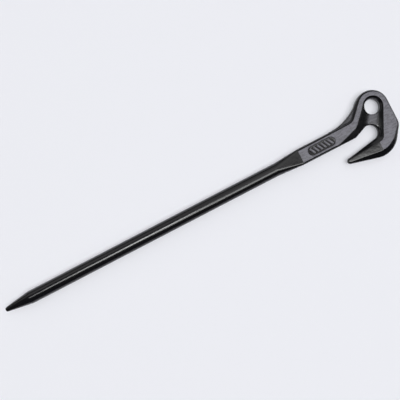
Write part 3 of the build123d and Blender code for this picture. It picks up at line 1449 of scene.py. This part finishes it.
@dataclass
class PanelRibs:
    """The slanting ribs in the neck's sunk panel, set out along it by a node tree.

    Attributes:
        sizes: The dies' sizes.
        panel: The panel.
        coat: The finish.
        slant: The ribs' turn from square across the neck, in degrees.
        thickness: Width of a rib, in millimetres.
        height: Height of a rib over the panel's floor.
    """

    sizes: DieSizes
    panel: GripPanel
    coat: BlackCoat
    slant: float = 28.0
    thickness: float = 1.35
    height: float = 0.55

    def build(self) -> bpy.types.Object:
        """Set out the ribs.

        Returns:
            The finished piece.
        """
        sizes, panel = self.sizes, self.panel
        run = panel.length - panel.width
        middle = sizes.face_x - panel.setback
        floor = sizes.axis_z + panel.side.value * (sizes.half - panel.depth)
        values = {
            "First": ((middle - run / 2) * MM, sizes.axis_y * MM, floor * MM),
            "Last": ((middle + run / 2) * MM, sizes.axis_y * MM, floor * MM),
            "Count": panel.ribs,
            "Rib Length": (panel.width - 2.4 * panel.wall) * MM,
            "Rib Width": self.thickness * MM,
            "Rib Height": self.height * MM,
            "Slant": math.radians(self.slant),
            "Coat": self.coat.material(),
        }
        piece = grown("panel_ribs", self.tree(values), values)
        # The ribs get the pressed faces' lighter colour in full, partly painted sheen.
        give_attribute(piece, "pressed_sheen", np.ones(len(piece.data.vertices)))
        return piece

    def tree(self, values: Mapping[str, Value]) -> bpy.types.NodeTree:
        """Build the tree that sets out the ribs.

        Args:
            values: The tree's inputs, by name.

        Returns:
            The node tree.
        """
        tree, graph, given = new_tree("panel_ribs_tree", values)
        row = graph.node("GeometryNodeCurvePrimitiveLine", {"mode": "POINTS"}, {
            "Start": given["First"], "End": given["Last"],
        })
        row = graph.node("GeometryNodeResampleCurve", None, {
            "Curve": row, "Count": given["Count"],
        })
        points = graph.node("GeometryNodeCurveToPoints", {"mode": "EVALUATED"}, {"Curve": row})
        size = graph.node("ShaderNodeCombineXYZ", None, {
            "X": given["Rib Width"], "Y": given["Rib Length"], "Z": given["Rib Height"] * 2.0,
        })
        rib = graph.node("GeometryNodeMeshCube", None, {
            "Size": size, "Vertices X": 4, "Vertices Y": 12, "Vertices Z": 3,
        })
        rib = self._rounded(graph, given, rib)
        turn = graph.node("ShaderNodeCombineXYZ", None, {"Z": given["Slant"]})
        ribs = graph.node("GeometryNodeInstanceOnPoints", None, {
            "Points": points, "Instance": rib, "Rotation": turn,
        })
        return finished(tree, graph, ribs, given["Coat"])

    @staticmethod
    def _rounded(graph: Graph, given: Mapping[str, Wire], rib: Wire) -> Wire:
        """Draw the rib's top in, so that its sides slope."""
        place = graph.node("GeometryNodeInputPosition")
        height = graph.node("ShaderNodeSeparateXYZ", None, {"Vector": place}, "Z")
        share = (height / given["Rib Height"]).ramp(0.0, 1.0, 1.0, 0.62)
        scale = graph.node("ShaderNodeCombineXYZ", None, {
            "X": share, "Y": share * 0.1 + 0.9, "Z": 1.0,
        })
        moved = graph.node("ShaderNodeVectorMath", {"operation": "MULTIPLY"}, {0: place, 1: scale})
        return graph.node("GeometryNodeSetPosition", None, {"Geometry": rib, "Position": moved})


SOCKET_TYPES = {
    bool: "NodeSocketBool",
    int: "NodeSocketInt",
    float: "NodeSocketFloat",
    tuple: "NodeSocketVector",
    bpy.types.Material: "NodeSocketMaterial",
}


def new_tree(
    name: str, values: Mapping[str, Value]
) -> tuple[bpy.types.NodeTree, Graph, dict[str, Wire]]:
    """Start a geometry tree with named inputs.

    Args:
        name: The tree's name.
        values: The inputs' names, with a value of the right type for each.

    Returns:
        The tree, a graph to fill it, and a wire for each input.
    """
    tree = bpy.data.node_groups.new(name, "GeometryNodeTree")
    tree.interface.new_socket("Geometry", in_out="OUTPUT", socket_type="NodeSocketGeometry")
    for key, value in values.items():
        tree.interface.new_socket(key, in_out="INPUT", socket_type=SOCKET_TYPES[type(value)])
    group = tree.nodes.new("NodeGroupInput")
    graph = Graph(tree)
    return tree, graph, {key: Wire(graph, group.outputs[key]) for key in values}


def finished(
    tree: bpy.types.NodeTree, graph: Graph, geometry: Wire, coat: Wire
) -> bpy.types.NodeTree:
    """End a geometry tree: real geometry, smooth shading and the material.

    Args:
        tree: The tree.
        graph: Its graph.
        geometry: What it has built.
        coat: The material.

    Returns:
        The tree.
    """
    geometry = graph.node("GeometryNodeRealizeInstances", None, {"Geometry": geometry})
    geometry = graph.node("GeometryNodeSetShadeSmooth", None, {"Geometry": geometry})
    geometry = graph.node("GeometryNodeSetMaterial", None, {
        "Geometry": geometry, "Material": coat,
    })
    output = tree.nodes.new("NodeGroupOutput")
    tree.links.new(geometry.socket, output.inputs[0])
    return tree


def grown(
    name: str, tree: bpy.types.NodeTree, values: Mapping[str, Value]
) -> bpy.types.Object:
    """Run a geometry tree and keep its result as a plain mesh.

    Args:
        name: The new object's name.
        tree: The tree.
        values: Its inputs' values, by name.

    Returns:
        An object at the origin that holds the mesh.
    """
    made = bpy.data.objects.new(name, bpy.data.meshes.new(name))
    bpy.context.scene.collection.objects.link(made)
    modifier = made.modifiers.new("grow", "NODES")
    modifier.node_group = tree
    for item in tree.interface.items_tree:
        if item.in_out == "INPUT":
            modifier[item.identifier] = values[item.name]
    graph = bpy.context.evaluated_depsgraph_get()
    mesh = bpy.data.meshes.new_from_object(made.evaluated_get(graph), depsgraph=graph)
    made.modifiers.remove(modifier)
    made.data = mesh
    mesh.name = name
    mesh.set_sharp_from_angle(angle=math.radians(38.0))
    return made


# ---------------------------------------------------------------------------------------------
# The studio


@dataclass(frozen=True)
class Softbox:
    """A rectangular light that hangs level over the stake, square with the picture.

    Attributes:
        name: The light's name.
        left: Its left border, in degrees from straight above the picture's middle.
        right: Its right border.
        low: Its border towards the picture's bottom.
        high: Its border towards the picture's top.
        brightness: How bright its face looks.
        height: How high it hangs, in metres.
        colour: Its colour.
    """

    name: str
    left: float
    right: float
    low: float
    high: float
    brightness: float
    height: float = 3.0
    colour: tuple[float, float, float] = (1.0, 1.0, 1.0)

    def hang(self, middle: Vector, roll: float) -> bpy.types.Object:
        """Put the light in the scene.

        Args:
            middle: The point that the picture is centred on.
            roll: The picture's turn about the vertical, in radians.

        Returns:
            The light.
        """
        borders = (self.left, self.right, self.low, self.high)
        left, right, low, high = (self.height * math.tan(math.radians(a)) for a in borders)
        lamp = bpy.data.lights.new(self.name, "AREA")
        lamp.shape = "RECTANGLE"
        lamp.size, lamp.size_y = right - left, high - low
        lamp.energy = self.brightness * math.pi * lamp.size * lamp.size_y
        lamp.color = self.colour
        made = bpy.data.objects.new(self.name, lamp)
        bpy.context.scene.collection.objects.link(made)
        offset = Vector(((left + right) / 2, (low + high) / 2, self.height))
        offset.rotate(Euler((0.0, 0.0, roll)))
        made.location = middle + offset
        made.rotation_euler = (0.0, 0.0, roll)
        return made


@dataclass(frozen=True)
class Studio:
    """Pale board, soft lights and a camera that looks straight down on the stake.

    Attributes:
        camera_height: The lens's height over the plane where the dies part, in metres.
        frame_width: What the picture covers at that plane, in metres.
        centre: What lies in the middle of the picture, back from the striking face and above
            the shank's axis, in metres.
        roll: How far the shank rises to the right in the picture, in degrees.
        ambient: Brightness of the room.
    """

    camera_height: float = 0.29
    frame_width: float = 0.2579
    centre: tuple[float, float] = (-0.1362, 0.0053)
    roll: float = 27.45
    ambient: float = 0.03

    def set_up(self, sizes: DieSizes) -> None:
        """Make the board, the lights, the room and the camera.

        Args:
            sizes: The dies' sizes, which give the stake's place.
        """
        self._board()
        self._room()
        roll = -math.radians(self.roll)
        middle = Vector((
            sizes.face_x * MM + self.centre[0],
            sizes.axis_y * MM + self.centre[1],
            sizes.axis_z * MM,
        ))
        for box in self.lights():
            box.hang(middle, roll)
        lens = bpy.data.cameras.new("camera")
        lens.sensor_width = 36.0
        lens.lens = 36.0 * self.camera_height / self.frame_width
        lens.clip_start = 0.01
        camera = bpy.data.objects.new("camera", lens)
        bpy.context.scene.collection.objects.link(camera)
        camera.location = middle + Vector((0.0, 0.0, self.camera_height))
        camera.rotation_euler = (0.0, 0.0, roll)
        bpy.context.scene.camera = camera
        bpy.context.scene.view_settings.view_transform = "Standard"

    @staticmethod
    def lights() -> Sequence[Softbox]:
        """The studio's lights, with a dark gap over the camera between the two bright ones."""
        return (
            Softbox("main", -1.0, 33.0, -21.0, 2.0, 5.4),
            Softbox("side", -14.0, -1.0, -12.0, 3.0, 13.0),
            Softbox("side_end", -24.0, -14.0, -14.0, 2.0, 7.0),
            Softbox("upper", -10.0, 45.0, 8.0, 50.0, 1.1),
            Softbox("upper_left", -70.0, -10.0, 20.0, 72.0, 0.6),
            Softbox("left_wall", -76.0, -60.0, -30.0, 20.0, 1.6),
            Softbox("right_wall", 62.0, 76.0, -25.0, 30.0, 1.6),
        )

    @staticmethod
    def _board() -> None:
        """Make the pale board under the stake."""
        shape = bmesh.new()
        bmesh.ops.create_grid(shape, x_segments=1, y_segments=1, size=6.0)
        bmesh.ops.translate(shape, verts=shape.verts, vec=(0.0, 0.0, -0.00005))
        mesh = bpy.data.meshes.new("board")
        shape.to_mesh(mesh)
        shape.free()
        board = bpy.data.objects.new("board", mesh)
        bpy.context.scene.collection.objects.link(board)
        mesh.materials.append(PaleBoard().material())
        board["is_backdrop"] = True

    def _room(self) -> None:
        """Give the room its even brightness."""
        world = bpy.data.worlds.new("room")
        world.use_nodes = True
        background = world.node_tree.nodes["Background"]
        background.inputs["Color"].default_value = (0.97, 0.98, 1.0, 1.0)
        background.inputs["Strength"].default_value = self.ambient
        bpy.context.scene.world = world


def corners() -> list[list[float]]:
    """Lowest and highest corner of what is shown now."""
    return [list(corner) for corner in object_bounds()]


def main() -> None:
    """Build the stake's pieces in order, and the studio round them."""
    logging.basicConfig(level=logging.INFO, format="%(name)s: %(message)s")
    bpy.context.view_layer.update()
    sizes = DieSizes.from_frame()
    panel = GripPanel()
    forged = BlackCoat("forged_coat")
    drawn = BlackCoat("drawn_coat", drawn=5.0, scale_relief_mm=0.03)
    head_nodes = ("neck_taper", "neck", "web", "eye_rim", "gusset", "striking_head", "hook")
    pieces = (
        (RoundBar(sizes, drawn), ("point", "shank")),
        (PressedHead(sizes, panel, forged), head_nodes),
        (PanelRibs(sizes, panel, forged), ()),
    )
    for maker, nodes in pieces:
        piece = maker.build()
        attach(piece, ROOT)
        if nodes:
            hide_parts(*nodes)
        LOG.info("%s: %d faces, for %s", piece.name, len(piece.data.polygons), nodes)
    Studio().set_up(sizes)


if __name__ == "__main__":
    main()
